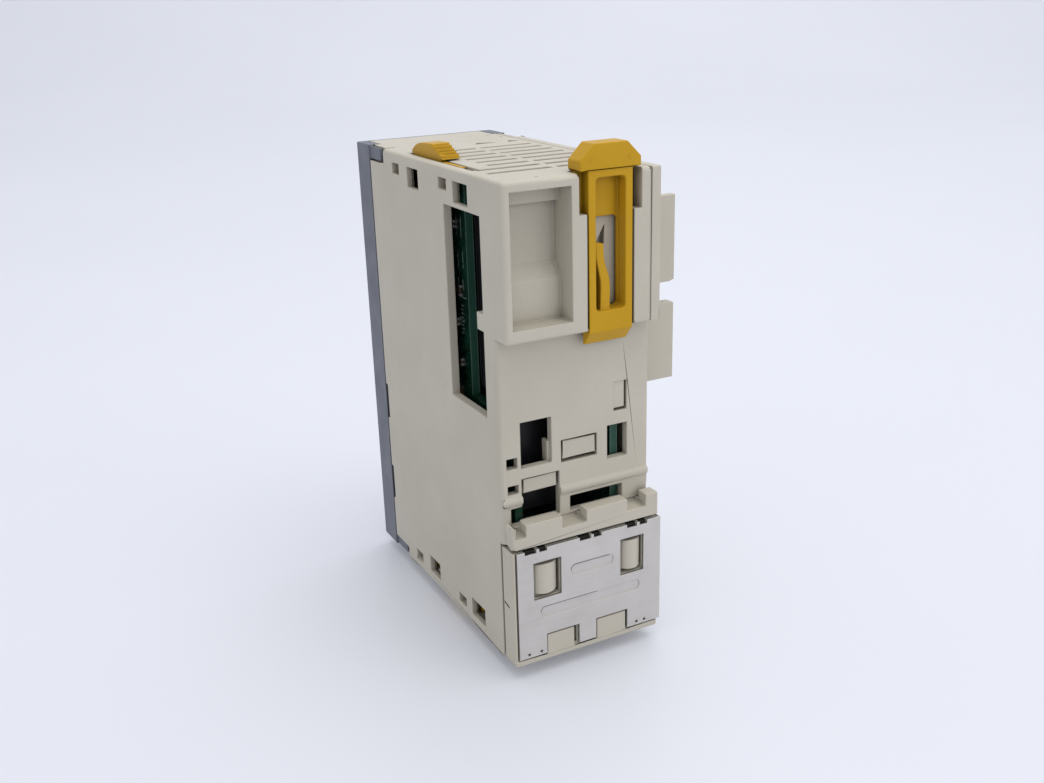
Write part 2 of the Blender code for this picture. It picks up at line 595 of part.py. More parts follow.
def build_boards():
    thick = BOARD_THICKNESS
    part("front_board", block((-12.6, FRONT_BOARD_Y, 4.0), (12.6, FRONT_BOARD_Y + thick, 86.0)), BOARD_GREEN)
    start, wall = BOARD_START_Y, LOWER_BACK - WALL - 0.4
    bus = [(start, 3), (wall, 3), (wall, 25.8), (INNER_BACK - GAP, 25.8), (INNER_BACK - GAP, 46.8),
           (BOARD_EDGE_Y, 46.8), (BOARD_EDGE_Y, 86.8), (start, 86.8)]
    io = [(start, 3), (wall, 3), (wall, 25.8), (INNER_BACK - GAP, 25.8), (INNER_BACK - GAP, 86.8), (start, 86.8)]
    part("bus_board", prism(bus, "X", BUS_BOARD_X, BUS_BOARD_X + thick), BOARD_GREEN)
    part("io_board", prism(io, "X", IO_BOARD_X, IO_BOARD_X + thick), BOARD_GREEN)


def build_contact_rows(name, tips_x, strip_x, half_gap, z_low):
    """Two rows of flat contacts that face each other across a slot or a tongue, each row joined by a strip."""
    count, pitch, width = 16, 1.85, 0.9
    for side, y in (("front", BUS_MIDDLE_Y - half_gap - 0.15), ("rear", BUS_MIDDLE_Y + half_gap)):
        strip = block((strip_x[0], y, z_low), (strip_x[1], y + 0.15, z_low + (count - 1) * pitch + width))
        row = part(f"{name}_{side}", strip, GOLD)
        heights = [z_low + index * pitch for index in range(count)]
        unite(row, blocks([((tips_x[0], y, z), (tips_x[1], y + 0.15, z + width)) for z in heights]))


def build_bus_connectors():
    face = BUS_BOARD_X - GAP
    socket = part("bus_socket", block((3.6, 40.5, 48.2), (face, 55.8, 82.3)), BLACK)
    cut(socket, block((5.4, BUS_MIDDLE_Y - 1.5, 49.6), (face + 1, BUS_MIDDLE_Y + 1.5, 80.9)))
    build_contact_rows("bus_socket_contacts", (5.8, face - 0.6), (5.7, 6.4), 1.0, 50.6)
    plug = part("bus_plug", block((-20.2, 50.6, 50.0), (IO_BOARD_X - GAP, 55.4, 80.4)), BLACK)
    unite(plug, block((-23.9, BUS_MIDDLE_Y - 0.65, 50.3), (-20.0, BUS_MIDDLE_Y + 0.65, 80.1)))
    build_contact_rows("bus_plug_contacts", (-23.5, -20.5), (-21.1, -20.5), 0.75, 50.9)


def build_board_parts():
    bus_face, io_face = BUS_BOARD_X - GAP, IO_BOARD_X + BOARD_THICKNESS + GAP
    part("board_link", block((io_face, 20.0, 8.0), (bus_face, 25.0, 34.0)), BLACK)
    part("front_link", block((bus_face - 5.0, BOARD_START_Y, 48.0), (bus_face, 20.0, 74.0)), BLACK)
    part("isolation_transformer", block((-3.0, 44.0, 27.0), (bus_face, 57.5, 46.0)), BLACK)
    part("processor_chip", block((io_face, 30.0, 52.0), (io_face + 1.5, 46.0, 68.0)), BLACK)
    part("program_memory", block((io_face, 28.0, 74.0), (io_face + 1.3, 36.0, 82.0)), BLACK)
    part("work_memory", block((io_face, 40.0, 74.0), (io_face + 1.3, 52.0, 81.0)), BLACK)
    part("bus_driver", block((io_face, 30.0, 38.0), (io_face + 1.3, 38.0, 48.0)), BLACK)
    for name, y in (("front", 33.0), ("rear", 42.5)):
        part(f"filter_capacitor_{name}", cylinder((bus_face - 10.5, y, 14.0), "X", 3.9, 10.5, 20), ALUMINIUM)
    part("crystal_can", rounded_block((io_face, 49.0, 54.0), (io_face + 3.4, 52.4, 64.0), "X", 1.2), NICKEL)


# Latch and sliders


def build_rail_latch():
    """The rail latch, with a chamfered grip, side wings in the case's grooves, a slot with a spring finger, and a
    bevelled nose that the rail pushes up."""
    centre, half_body, half_head = -5.3, 4.4, 6.0
    back, face = RAIL_SEAT + GAP, DEPTH - 0.1
    head_low, head_high, chamfer = HEIGHT + GAP, 94.7, 2.7
    body_low = UPPER_BLOCK_LOW - 0.4
    body = [(back, head_low + 0.5), (back, body_low + 0.3), (back + 1.0, body_low + 0.1), (back + 1.0, 59.7),
            (64.5, 59.7), (face, body_low), (face, head_low + 0.5)]
    latch = part(
        "rail_latch", prism(body, "X", centre - half_body, centre + half_body), YELLOW, (centre, back, HEIGHT)
    )
    head = [(centre - half_head, head_low), (centre + half_head, head_low),
            (centre + half_head, head_high - chamfer), (centre + half_head - chamfer, head_high),
            (centre - half_head + chamfer, head_high), (centre - half_head, head_high - chamfer)]
    unite(latch, prism(head, "Y", back - 0.6, DEPTH))
    unite(latch, block((centre - half_head + 0.1, back, 64.5), (centre + half_head - 0.1, 64.2, head_low + 0.4)))
    slot_low, slot_high = centre - 2.95, centre + 2.95
    cut(latch, rounded_block((slot_low, 63.9, 65.9), (slot_high, DEPTH + 1, 89.0), "Y", 0.7))
    cut(latch, rounded_block((slot_low + 0.1, back - 1, 66.0), (slot_high - 0.1, 65.0, 81.9), "Y", 0.7))
    finger = spring_finger(slot_high)
    unite(latch, prism(finger, "Y", 63.6, 65.9))
    return latch


def spring_finger(wall_x):
    """A broad finger that rises from the slot's lower end, then leans over to the slot's wall, in (X, Z)."""
    foot, tip, steps = 65.5, 77.6, 14
    left, right = [], []
    for step in range(steps + 1):
        t = step / steps
        bend = min(max((t - 0.38) / 0.46, 0.0), 1.0)
        lean = bend * bend * (3 - 2 * bend)
        bulge = 0.14 * math.sin(math.pi * t)
        z = foot + (tip - foot) * t
        left.append((wall_x - 1.15 - bulge + 0.95 * lean, z + 0.3 * t))
        right.append((wall_x - 3.1 - bulge + 1.2 * lean, z))
    return right + left[::-1]


def build_slider(name, on_top, shift):
    """A module-lock slider: a ribbed knob on a strip in its track, with claws on a bar inside the case."""
    def flip(z_low, z_high):
        return (z_low, z_high) if on_top else (HEIGHT - z_high, HEIGHT - z_low)

    def span(x, y, z):
        low, high = flip(*z)
        return block((x[0], y[0] + shift, low), (x[1], y[1] + shift, high))

    crest, foot, ribs, base = (34.0, 92.7), (39.0, 90.45), 5, 90.25
    profile = [(24.6, base), (24.9, 90.6), (26.2, 91.6), (27.6, 92.15), (29.2, 92.45), (31.4, 92.6), crest]
    for rib in range(ribs):
        t0, t1 = (rib + 0.55) / ribs, (rib + 1) / ribs
        y0, z0 = crest[0] + (foot[0] - crest[0]) * t0, crest[1] + (foot[1] - crest[1]) * t0
        y1, z1 = crest[0] + (foot[0] - crest[0]) * t1, crest[1] + (foot[1] - crest[1]) * t1
        profile += [(y0, min(z0 + 0.42, crest[1] - 0.02)), (y0 + 0.14, z0 - 0.3), (y1, z1)]
    profile.append((foot[0] + 0.1, base))
    outline = [(y + shift, z if on_top else HEIGHT - z) for y, z in profile]
    slider = part(name, prism(outline, "X", 9.6, 13.2), YELLOW, (11.4, 30.0 + shift, HEIGHT if on_top else 0))
    unite(slider, span((12.2, 13.2), (25.0, 38.4), (89.4, 91.0)), span((12.25, 13.15), (24.8, 46.8), (89.15, 89.9)))
    unite(slider, span((12.3, 13.3), (26.2, 28.2), (87.6, 89.5)), span((12.3, 13.3), (39.6, 41.6), (87.6, 89.5)))
    unite(slider, span((12.3, 13.3), (19.2, 43.3), (87.2, 87.9)))
    unite(slider, span((12.3, 13.3), (19.2, 22.5), (84.5, 87.5)), span((12.3, 13.3), (40.0, 43.3), (84.5, 87.5)))
    return slider


build_main_case()
build_side_cover()
build_lower_cover()
build_shield_plate()
build_bezel()
build_indicators()
build_number_switches()
build_mode_switch()
build_port()
build_boards()
build_bus_connectors()
build_board_parts()
build_rail_latch()
build_slider("top_slider", True, 0.0)
build_slider("bottom_slider", False, SLIDER_TRAVEL)
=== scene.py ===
"""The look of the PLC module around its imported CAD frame.

It makes the refined mouldings, the procedural materials, the light and the camera. Positions are
given in millimetres of the case frame (X across from the middle, Y from the bezel's face towards
the rail, Z up from the case's bottom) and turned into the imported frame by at().
"""

import json
import math
import random

import bmesh
import bpy
from mathutils import Matrix, Vector


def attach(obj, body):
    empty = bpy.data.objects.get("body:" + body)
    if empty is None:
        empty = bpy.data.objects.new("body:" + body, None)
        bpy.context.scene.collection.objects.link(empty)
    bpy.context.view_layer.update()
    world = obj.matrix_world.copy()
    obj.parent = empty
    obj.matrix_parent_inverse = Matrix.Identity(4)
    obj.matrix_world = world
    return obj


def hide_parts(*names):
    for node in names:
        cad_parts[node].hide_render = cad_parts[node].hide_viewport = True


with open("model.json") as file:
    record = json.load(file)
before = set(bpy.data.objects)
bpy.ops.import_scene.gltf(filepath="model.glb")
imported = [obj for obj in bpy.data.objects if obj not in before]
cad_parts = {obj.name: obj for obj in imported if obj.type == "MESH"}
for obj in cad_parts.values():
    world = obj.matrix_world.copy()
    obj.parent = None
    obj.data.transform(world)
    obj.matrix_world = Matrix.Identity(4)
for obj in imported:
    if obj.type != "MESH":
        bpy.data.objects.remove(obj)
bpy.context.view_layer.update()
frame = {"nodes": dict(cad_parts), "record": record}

MM = 0.001
CASE_ORIGIN = Vector((4.55, -33.5, 2.7))
CASE_SIDE_X, CASE_BACK_Y, CASE_TOP_Z = 15.5, 66.7, 90.0
BLOCK_BOTTOM_Z = 62.6
SEAT_Y, RECESS_Y = 62.8, 62.7
WELD_DISTANCE = 2e-6
LINE_REACH = 0.03 * MM
SHARP_ANGLE = math.radians(32)
BODIES = frame["record"]["behaviour"]["bodies"]
BODY_OF = {node: body for body, nodes in BODIES.items() for node in nodes}
SLOT_OF = {entry["node"]: entry["material_slot"] for entry in frame["record"]["subparts"]}


def at(x, y, z):
    """A point of the case frame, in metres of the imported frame."""
    return (Vector((x, y, z)) + CASE_ORIGIN) * MM


# -------------------------------------------------------------------------------------------------
# Materials
# -------------------------------------------------------------------------------------------------


class Paint:
    """A Principled material with a few helpers for its procedural nodes."""

    def __init__(self, name, roughness, metallic=0.0, **settings):
        self.material = bpy.data.materials.new(name)
        self.material.use_nodes = True
        self.tree = self.material.node_tree
        self.shader = self.tree.nodes["Principled BSDF"]
        self.shader.inputs["Roughness"].default_value = roughness
        self.shader.inputs["Metallic"].default_value = metallic
        for socket, value in settings.items():
            self.shader.inputs[socket.replace("_", " ")].default_value = value
        self.place = self.node("ShaderNodeTexCoord").outputs["Object"]

    def node(self, kind, **inputs):
        made = self.tree.nodes.new(kind)
        for socket, value in inputs.items():
            made.inputs[socket.replace("_", " ")].default_value = value
        return made

    def link(self, source, target):
        self.tree.links.new(source, target)

    def stretched(self, scale):
        """Coordinates stretched along the axes, for brushed or streaked grain."""
        mapping = self.node("ShaderNodeMapping", Scale=scale)
        self.link(self.place, mapping.inputs["Vector"])
        return mapping.outputs["Vector"]

    def noise(self, scale, detail=3.0, vector=None):
        made = self.node("ShaderNodeTexNoise", Scale=scale, Detail=detail)
        self.link(vector or self.place, made.inputs["Vector"])
        return made.outputs["Fac"]

    def ramp(self, source, *stops):
        made = self.node("ShaderNodeValToRGB")
        elements = made.color_ramp.elements
        while len(elements) < len(stops):
            elements.new(0.5)
        for element, (position, colour) in zip(elements, stops):
            element.position = position
            element.color = (*colour, 1.0)
        self.link(source, made.inputs["Fac"])
        return made.outputs["Color"]

    def grey(self, source, low, high, start=0.3, end=0.7):
        return self.ramp(source, (start, (low,) * 3), (end, (high,) * 3))

    def multiply(self, first, second):
        mix = self.tree.nodes.new("ShaderNodeMix")
        mix.data_type = "RGBA"
        mix.blend_type = "MULTIPLY"
        mix.inputs["Factor"].default_value = 1.0
        self.link(first, mix.inputs["A"])
        self.link(second, mix.inputs["B"])
        return mix.outputs["Result"]

    def colour(self, source):
        self.link(source, self.shader.inputs["Base Color"])

    def roughness(self, source):
        self.link(source, self.shader.inputs["Roughness"])

    def bump(self, *layers):
        """Bump from (height, strength, distance) layers, finest last."""
        normal = None
        for height, strength, distance in layers:
            made = self.node("ShaderNodeBump", Strength=strength, Distance=distance)
            self.link(height, made.inputs["Height"])
            if normal:
                self.link(normal, made.inputs["Normal"])
            normal = made.outputs["Normal"]
        self.link(normal, self.shader.inputs["Normal"])

    def crevice(self, distance, darkest):
        """Painted shade: a grey from ambient occlusion that darkens the colour where faces meet."""
        shade = self.node("ShaderNodeAmbientOcclusion", Distance=distance)
        return self.grey(shade.outputs["AO"], darkest, 1.0, 0.25, 0.8)


def moulded(name, dark, light, roughness, grain=0.22, crevice=0.72, **settings):
    """Injection-moulded plastic: faint mottling, a spark-eroded texture, and painted shade that darkens the
    crevices.
    """
    paint = Paint(name, roughness, **settings)
    cloud = paint.noise(55.0, 4.0)
    speck = paint.noise(2600.0, 2.0)
    tone = paint.ramp(cloud, (0.3, dark), (0.7, light))
    tone = paint.multiply(tone, paint.grey(speck, 0.965, 1.0))
    # Painted shade: ambient occlusion darkens the colour where faces meet, at a 2.2 mm and at a 0.5 mm
    # reach.
    tone = paint.multiply(tone, paint.crevice(0.0022, crevice))
    paint.colour(paint.multiply(tone, paint.crevice(0.0005, (1.0 + crevice) / 3)))
    paint.roughness(paint.grey(paint.noise(190.0, 5.0), roughness - 0.05, roughness + 0.08))
    paint.bump((paint.noise(420.0, 2.0), 0.05, 0.00012), (speck, grain, 0.00004))
    return paint.material


def board_material():
    """Solder mask over copper: lighter fields where copper lies under it, and a fine weave."""
    paint = Paint("solder_mask", 0.3)
    field = paint.noise(170.0, 1.0)
    tone = paint.ramp(field, (0.49, (0.004, 0.026, 0.014)), (0.53, (0.007, 0.045, 0.026)))
    paint.colour(paint.multiply(tone, paint.grey(paint.noise(900.0), 0.82, 1.0)))
    paint.roughness(paint.grey(paint.noise(1500.0), 0.24, 0.4))
    paint.bump((field, 0.2, 0.00003), (paint.noise(3600.0, 1.0), 0.12, 0.00002))
    return paint.material


def sheet_material():
    """Rolled tinned sheet: soft streaks along the roll, cloudy spangle and fine scratches."""
    paint = Paint("tinned_sheet", 0.5, 0.5)
    spangle = paint.noise(150.0, 3.0)
    streak = paint.noise(1.0, 4.0, paint.stretched((90.0, 90.0, 2600.0)))
    scratch = paint.noise(1.0, 6.0, paint.stretched((700.0, 700.0, 5200.0)))
    tone = paint.ramp(spangle, (0.3, (0.545, 0.520, 0.500)), (0.7, (0.60, 0.575, 0.555)))
    tone = paint.multiply(tone, paint.grey(streak, 0.94, 1.0))
    # Painted shade: ambient occlusion darkens the sheet's colour where faces meet.
    paint.colour(paint.multiply(tone, paint.crevice(0.001, 0.7)))
    paint.roughness(paint.grey(scratch, 0.42, 0.52))
    paint.bump((spangle, 0.08, 0.0001), (streak, 0.06, 0.00003), (scratch, 0.05, 0.00001))
    return paint.material


def plain_metal(name, dark, light, roughness):
    paint = Paint(name, roughness, 1.0)
    grain = paint.noise(1800.0, 3.0)
    paint.colour(paint.ramp(grain, (0.35, dark), (0.65, light)))
    paint.roughness(paint.grey(paint.noise(500.0), roughness - 0.06, roughness + 0.1))
    paint.bump((grain, 0.08, 0.00001))
    return paint.material


LOOKS = {
    "beige_abs": moulded(
        "beige_abs", (0.480, 0.446, 0.372), (0.520, 0.486, 0.410), 0.5, 0.2, 0.62, Specular_IOR_Level=0.35
    ),
    "dark_grey_abs": moulded("dark_grey_abs", (0.094, 0.102, 0.128), (0.110, 0.120, 0.149), 0.42),
    "yellow_pom": moulded(
        "yellow_pom", (0.475, 0.268, 0.010), (0.53, 0.302, 0.014), 0.4, 0.12, 0.5, Specular_IOR_Level=0.16
    ),
    "black_pbt": moulded(
        "black_pbt", (0.005, 0.005, 0.007), (0.010, 0.009, 0.012), 0.38, 0.2, 0.8, Specular_IOR_Level=0.3
    ),
    "white_dial": moulded("white_dial", (0.66, 0.65, 0.61), (0.72, 0.71, 0.67), 0.4, 0.1),
    "smoked_lens": moulded(
        "smoked_lens", (0.030, 0.036, 0.045), (0.036, 0.042, 0.052), 0.12, 0.02, 0.95
    ),
    "led_body": moulded("led_body", (0.42, 0.62, 0.36), (0.50, 0.70, 0.42), 0.25, 0.05),
    "clear_acrylic": moulded("clear_acrylic", (0.72, 0.75, 0.78), (0.80, 0.82, 0.84), 0.1, 0.02),
    "solder_mask_green": board_material(),
    "tinned_sheet": sheet_material(),
    "gold_contact": plain_metal("gold_contact", (0.72, 0.48, 0.16), (0.90, 0.64, 0.26), 0.25),
    "nickel_plate": plain_metal("nickel_plate", (0.52, 0.51, 0.49), (0.66, 0.65, 0.62), 0.26),
    "capacitor_can": plain_metal("capacitor_can", (0.58, 0.58, 0.60), (0.70, 0.70, 0.72), 0.3),
}
SILK = moulded("silk_ink", (0.22, 0.29, 0.25), (0.32, 0.40, 0.36), 0.5, 0.1, 0.9)
TRACE = moulded("copper_under_mask", (0.008, 0.060, 0.036), (0.012, 0.080, 0.050), 0.3, 0.1, 0.9)
LAMINATE = moulded("cut_laminate", (0.010, 0.060, 0.038), (0.018, 0.082, 0.055), 0.55, 0.3, 0.9)
ARRIS = moulded("laminate_arris", (0.060, 0.130, 0.100), (0.085, 0.165, 0.130), 0.5, 0.2, 0.95)
# Painted shadow: the dark grey of the lines along the upper edges of the plate's pressed grooves.
GROOVE_EDGE_SHADOW = moulded("painted_groove_edge_shadow", (0.15, 0.145, 0.15), (0.20, 0.195, 0.20), 0.5, 0.1, 0.9)
# Painted shadow: near-black for the shade inside the side slot and in the plate's notches.
SHADOW_LINE = moulded("painted_recess_shadow", (0.010, 0.009, 0.008), (0.016, 0.014, 0.012), 0.8, 0.1, 0.9)
SOLDER = plain_metal("solder", (0.52, 0.52, 0.54), (0.68, 0.68, 0.70), 0.28)
CERAMIC = moulded("chip_ceramic", (0.055, 0.035, 0.022), (0.14, 0.09, 0.055), 0.45, 0.1, 0.9)
DIMPLE = moulded("gate_mark", (0.30, 0.29, 0.26), (0.34, 0.33, 0.30), 0.6, 0.1, 0.9)
DIAL_INK = moulded("dial_ink", (0.55, 0.55, 0.55), (0.62, 0.62, 0.62), 0.5, 0.05, 0.95)


# -------------------------------------------------------------------------------------------------
# Pieces
# -------------------------------------------------------------------------------------------------


def show(name, shape, material, body, smooth=True):
    """A new visible piece from a bmesh, riding on a body."""
    mesh = bpy.data.meshes.new(name)
    shape.to_mesh(mesh)
    shape.free()
    mesh.materials.append(material)
    piece = bpy.data.objects.new(name, mesh)
    bpy.context.scene.collection.objects.link(piece)
    if smooth:
        mesh.shade_smooth()
        mesh.set_sharp_from_angle(angle=SHARP_ANGLE)
    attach(piece, body)
    return piece


def welded(node):
    """A CAD node's mesh with its split corners joined, and the case's clearance recesses filled."""
    shape = bmesh.new()
    shape.from_mesh(frame["nodes"][node].data)
    bmesh.ops.remove_doubles(shape, verts=shape.verts, dist=WELD_DISTANCE)
    if node == "main_case":
        # The clearance recesses in the rail seat are shallower than the edge break: they are
        # levelled here.
        seat, recess = at(0, SEAT_Y, 0).y, at(0, RECESS_Y, 0).y
        for vert in shape.verts:
            if abs(vert.co.y - recess) < 0.02 * MM:
                vert.co.y = seat
        bmesh.ops.remove_doubles(shape, verts=shape.verts, dist=WELD_DISTANCE)
        bmesh.ops.dissolve_degenerate(shape, dist=1e-6, edges=shape.edges)
    return shape


def weigh_round_edges(shape, lines):
    """Weights for the edges on the given case lines: (X, Y, Z) points with None along the line."""
    layer = shape.edges.layers.float.new("bevel_weight_edge")
    for edge in shape.edges:
        for line, weight in lines:
            place = at(*[0.0 if value is None else value for value in line])
            fixed = [axis for axis in range(3) if line[axis] is not None]
            gaps = [abs(vert.co[axis] - place[axis]) for vert in edge.verts for axis in fixed]
            if max(gaps) < LINE_REACH:
                edge[layer] = weight


def refine(node, width, segments=2):
    """A piece that stands for a CAD node, its outer edges rounded and the rest broken."""
    slot = SLOT_OF[node]
    shape = welded(node)
    if node in ROUND_EDGES:
        weigh_round_edges(shape, ROUND_EDGES[node])
    piece = show(node + "_moulding", shape, LOOKS[slot], BODY_OF[node])
    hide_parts(node)
    if node in ROUND_EDGES:
        rounding = piece.modifiers.new("outer_rounding", "BEVEL")
        rounding.width = 1.0 * MM
        rounding.segments = 4
        rounding.limit_method = "WEIGHT"
        rounding.use_clamp_overlap = False
        rounding.loop_slide = False
    bevel = piece.modifiers.new("edge_break", "BEVEL")
    bevel.width = width * MM
    bevel.segments = segments
    bevel.limit_method = "ANGLE"
    bevel.angle_limit = SHARP_ANGLE
    bevel.use_clamp_overlap = False
    bevel.loop_slide = False
    normals = piece.modifiers.new("flat_faces", "WEIGHTED_NORMAL")
    normals.keep_sharp = True
    return piece


def box(shape, low, high):
    """Adds a box between two case points to a bmesh."""
    size = Vector(high) - Vector(low)
    middle = (Vector(high) + Vector(low)) / 2
    place = Matrix.Translation(at(*middle)) @ Matrix.Diagonal((*(size * MM), 1.0))
    return bmesh.ops.create_cube(shape, size=1.0, matrix=place)["verts"]


# Lines along which the mouldings are rounded, with the radius in millimetres as the weight
ROUND_EDGES = {
    "main_case": [
        ((CASE_SIDE_X, CASE_BACK_Y, None), 0.9),
        ((CASE_SIDE_X, None, CASE_TOP_Z), 0.7),
        ((None, CASE_BACK_Y, CASE_TOP_Z), 0.8),
        ((CASE_SIDE_X, SEAT_Y, None), 0.8),
        ((CASE_SIDE_X, None, 0.0), 0.7),
        ((CASE_SIDE_X, None, BLOCK_BOTTOM_Z), 0.5),
        ((None, CASE_BACK_Y, BLOCK_BOTTOM_Z), 0.5),
    ],
    "side_cover": [
        ((-CASE_SIDE_X, CASE_BACK_Y, None), 0.35),
        ((-CASE_SIDE_X, None, CASE_TOP_Z), 0.3),
        ((None, CASE_BACK_Y, CASE_TOP_Z), 0.3),
        ((-CASE_SIDE_X, None, 0.0), 0.4),
    ],
    "lower_rear_cover": [
        ((CASE_SIDE_X, None, 0.0), 0.7),
        ((-CASE_SIDE_X, None, 0.0), 0.4),
        ((None, CASE_BACK_Y, 0.0), 0.5),
    ],
    "front_bezel": [
        ((CASE_SIDE_X, 0.0, None), 0.6),
        ((-CASE_SIDE_X, 0.0, None), 0.6),
        ((None, 0.0, CASE_TOP_Z), 0.6),
        ((None, 0.0, 0.0), 0.6),
    ],
}
# The width of each piece's edge break, in millimetres
EDGE_BREAK = {
    "main_case": 0.16, "side_cover": 0.16, "lower_rear_cover": 0.16, "front_bezel": 0.2,
    "rail_latch": 0.2, "top_slider": 0.12, "bottom_slider": 0.12, "rear_shield_plate": 0.06,
    "indicator_lens": 0.2, "number_dial_left": 0.12, "number_dial_right": 0.12,
    "mode_switch_knob": 0.12, "mode_switch_body": 0.12, "number_switch_body_left": 0.15,
    "number_switch_body_right": 0.15, "port_shell": 0.08, "port_insulator": 0.08,
    "jack_post_upper": 0.12, "jack_post_lower": 0.12, "bus_socket": 0.15, "bus_plug": 0.15,
    "front_board": 0.04, "bus_board": 0.04, "io_board": 0.04, "processor_chip": 0.12,
    "program_memory": 0.1, "work_memory": 0.1, "bus_driver": 0.1, "filter_capacitor_front": 0.4,
    "filter_capacitor_rear": 0.4, "crystal_can": 0.3, "isolation_transformer": 0.3,
    "board_link": 0.15, "front_link": 0.15, "port_body": 0.15, "light_guide": 0.1,
    "indicator_led_strip": 0.06, "port_contacts": 0.05, "bus_socket_contacts_front": 0.03,
    "bus_socket_contacts_rear": 0.03, "bus_plug_contacts_front": 0.03,
    "bus_plug_contacts_rear": 0.03,
}
for node, width in EDGE_BREAK.items():
    refine(node, width)


# -------------------------------------------------------------------------------------------------
# Circuit board details that show through the bus window and the hook holes
# -------------------------------------------------------------------------------------------------

BUS_FACE_X = 11.8
INK = 0.03
BOARD_TOP_Z = 86.6
BOARD_EDGE_Y = 44.45


def on_board(shape, y, z, height=INK):
    """A flat mark or part on the bus board's outer face, over spans of Y and Z."""
    box(shape, (BUS_FACE_X, y[0], z[0]), (BUS_FACE_X + height, y[1], z[1]))


def outline_mark(shape, y, z, line=0.16):
    """The printed outline of a component's place, open at its ends."""
    on_board(shape, (y[0], y[0] + line), z)
    on_board(shape, (y[1] - line, y[1]), z)


def build_board_marks():
    copper = bmesh.new()
    on_board(copper, (44.5, 60.0), (45.0, 45.4))
    on_board(copper, (47.4, 60.0), (46.3, 46.6))
    for row in range(9):
        on_board(copper, (37.6, 43.4), (48.3 + 4.2 * row, 48.5 + 4.2 * row), 0.02)
    show("board_traces", copper, TRACE, "case")

    silk = bmesh.new()
    for y, z in (((40.4, 42.6), (76.6, 80.4)), ((40.7, 42.9), (70.8, 74.0)), ((40.4, 42.6), (66.6, 68.8))):
        outline_mark(silk, y, z)
    for row in range(8):
        on_board(silk, (41.2, 42.0 + 0.3 * (row % 2)), (58.2 + 0.75 * row, 58.45 + 0.75 * row))
    on_board(silk, (40.1, 43.6), (65.2, 65.35))
    show("board_ink", silk, SILK, "case")


def build_board_edges():
    """The cut edges of the boards: bare laminate between two brighter arrises."""
    core, arris = bmesh.new(), bmesh.new()
    for face_x, y, z in ((11.8, BOARD_EDGE_Y, (46.9, BOARD_TOP_Z)), (-8.5, 60.8, (26.0, BOARD_TOP_Z))):
        box(core, (face_x - 1.4, y - 0.01, z[0]), (face_x - 0.2, y + 0.02, z[1]))
        for x in (face_x - 1.58, face_x - 0.18):
            box(arris, (x, y - 0.01, z[0]), (x + 0.16, y + 0.03, z[1]))
    show("board_edge_core", core, LAMINATE, "case")
    show("board_edge_arrises", arris, ARRIS, "case")


def build_small_components():
    """Chip resistors and capacitors in a loose grid, with pale solder ends."""
    draw = random.Random(7)
    bodies, ends = bmesh.new(), bmesh.new()
    for row in range(12):
        for y in (18.5, 24.0, 29.5, 35.2, 40.6):
            z = 7.0 + 6.6 * row + draw.uniform(-1.2, 1.2)
            y += draw.uniform(-1.0, 1.0)
            length, width = draw.choice(((1.6, 0.8), (1.0, 0.5), (2.0, 1.25)))
            if draw.random() < 0.3 or not 4.5 < z < 82.0:
                continue
            half_width, half_length = width / 2, length / 2
            sides = (y - half_width, y + half_width)
            on_board(bodies, sides, (z - half_length + 0.2, z + half_length - 0.2), 0.45)
            cap_sides = (sides[0] - 0.03, sides[1] + 0.03)
            for end in (z - half_length, z + half_length):
                on_board(ends, cap_sides, (end - 0.22, end + 0.22), 0.4)
    show("chip_parts", bodies, CERAMIC, "case")
    show("chip_part_ends", ends, SOLDER, "case")


def build_socket_ribs():
    """Narrow ribs along the bus socket's face."""
    shape = bmesh.new()
    for y, depth in ((44.9, 0.22), (49.4, 0.22), (54.9, 0.25)):
        box(shape, (9.8, y, 50.2), (9.9 + depth, y + 0.5, 80.4))
    show("bus_socket_ribs", shape, LOOKS["black_pbt"], "case")


build_board_marks()
build_board_edges()
build_small_components()
build_socket_ribs()


# -------------------------------------------------------------------------------------------------
# Moulding marks
# -------------------------------------------------------------------------------------------------


def disc_on(shape, place, normal, radius, height, segments=20):
    """A shallow round pad with a slightly smaller top, standing on a surface."""
    turn = Vector(normal).to_track_quat("Z", "Y").to_matrix().to_4x4()
    centre = Matrix.Translation(at(*place)) @ turn @ Matrix.Translation((0, 0, height * MM / 2))
    bmesh.ops.create_cone(
        shape, cap_ends=True, segments=segments, radius1=radius * MM, radius2=radius * 0.93 * MM,
        depth=height * MM, matrix=centre,
    )


def crescent_on_side(shape, y, z, radius, width, steps=12):
    """The edge of a half-faded ejector mark on the big side wall, thickest in the middle."""
    previous = None
    for step in range(steps + 1):
        angle = math.radians(100 + 150 * step / steps)
        thick = width * math.sin(math.pi * (0.04 + 0.92 * step / steps))
        ring = []
        for reach, lift in ((radius + thick / 2, -0.02), (radius, 0.05), (radius - thick / 2, -0.02)):
            place = at(CASE_SIDE_X + lift, y + reach * math.cos(angle), z + reach * math.sin(angle))
            ring.append(shape.verts.new(place))
        if previous:
            for index in range(3):
                follow = (index + 1) % 3
                shape.faces.new((previous[index], previous[follow], ring[follow], ring[index]))
        else:
            shape.faces.new(ring[::-1])
        previous = ring
    shape.faces.new(previous)
    bmesh.ops.recalc_face_normals(shape, faces=shape.faces)


